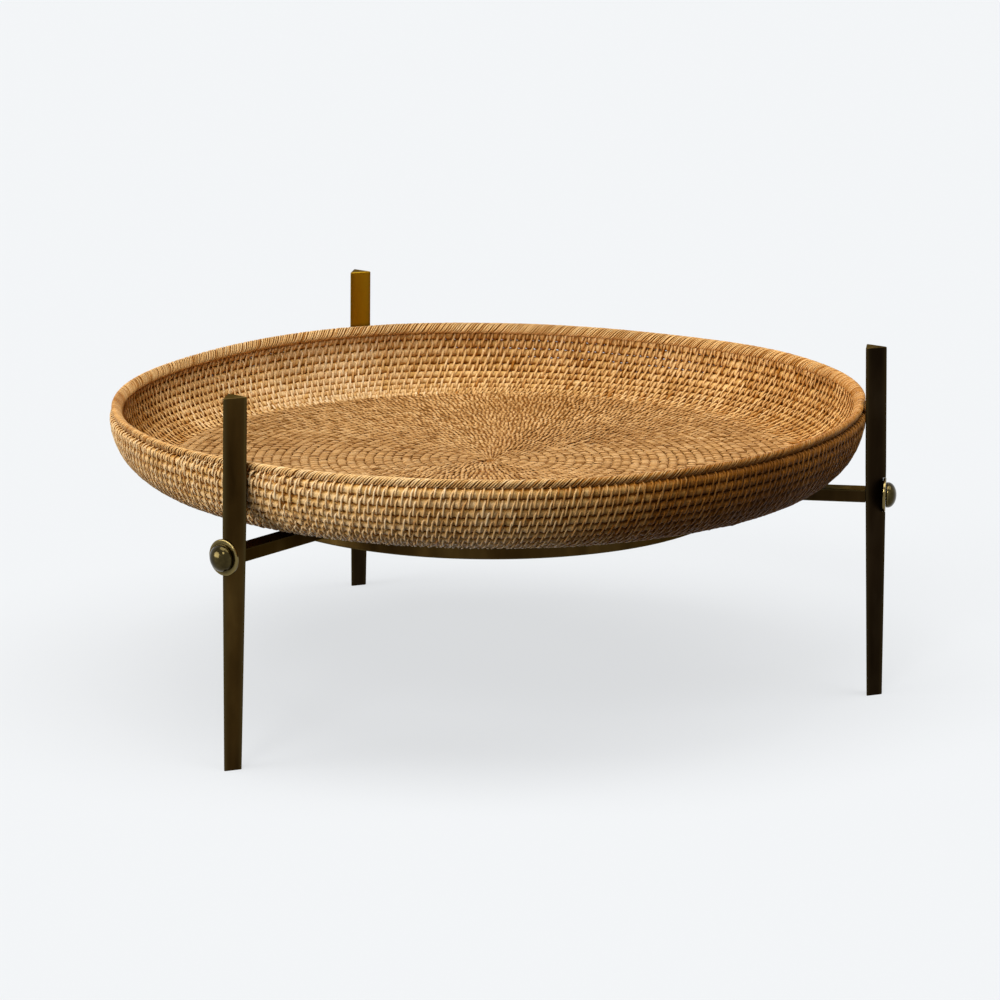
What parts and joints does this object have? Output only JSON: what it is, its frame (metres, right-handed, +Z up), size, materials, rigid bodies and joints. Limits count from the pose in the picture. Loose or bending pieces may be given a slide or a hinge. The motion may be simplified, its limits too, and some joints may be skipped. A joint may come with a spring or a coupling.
{
  "type": "tray table",
  "caption": "Round coiled rattan tray resting loose on a brass stand: splayed triangular legs bolted with domed nuts to arms around a flat support hoop.",
  "frame": {"origin": "middle of the table's bounding box at floor level; the tray and hoop are centred on x -0.0193, y -0.0041 m", "axes": "+Z up; +Y away from the viewer of the picture; +X to the viewer's right"},
  "size_m": [0.9626, 0.9322, 0.44],
  "materials": {
    "stand_brass": "darkened bronze-brown, satin",
    "polished_brass": "polished antique brass",
    "rattan": "honey-coloured rattan with a light varnish",
    "rattan_floor": "honey-coloured rattan, closely stitched"
  },
  "bodies": {
    "stand": {"support_hoop": "stand_brass", "front_left_leg": "stand_brass", "front_left_arm": "stand_brass", "front_left_stud": "polished_brass", "front_left_washer": "polished_brass", "front_left_cap_nut": "polished_brass", "right_leg": "stand_brass", "right_arm": "stand_brass", "right_stud": "polished_brass", "right_washer": "polished_brass", "right_cap_nut": "polished_brass", "rear_leg": "stand_brass", "rear_arm": "stand_brass", "rear_stud": "polished_brass", "rear_washer": "polished_brass", "rear_cap_nut": "polished_brass"},
    "tray": {"tray_floor": "rattan_floor", "tray_wall_coil": "rattan", "tray_rim_hoop": "rattan"}
  },
  "joints": [
    {"name": "tray_lift", "type": "slide", "parent": "stand", "child": "tray", "axis": [0, 0, 1], "range_m": [0, 0.2]}
  ]
}
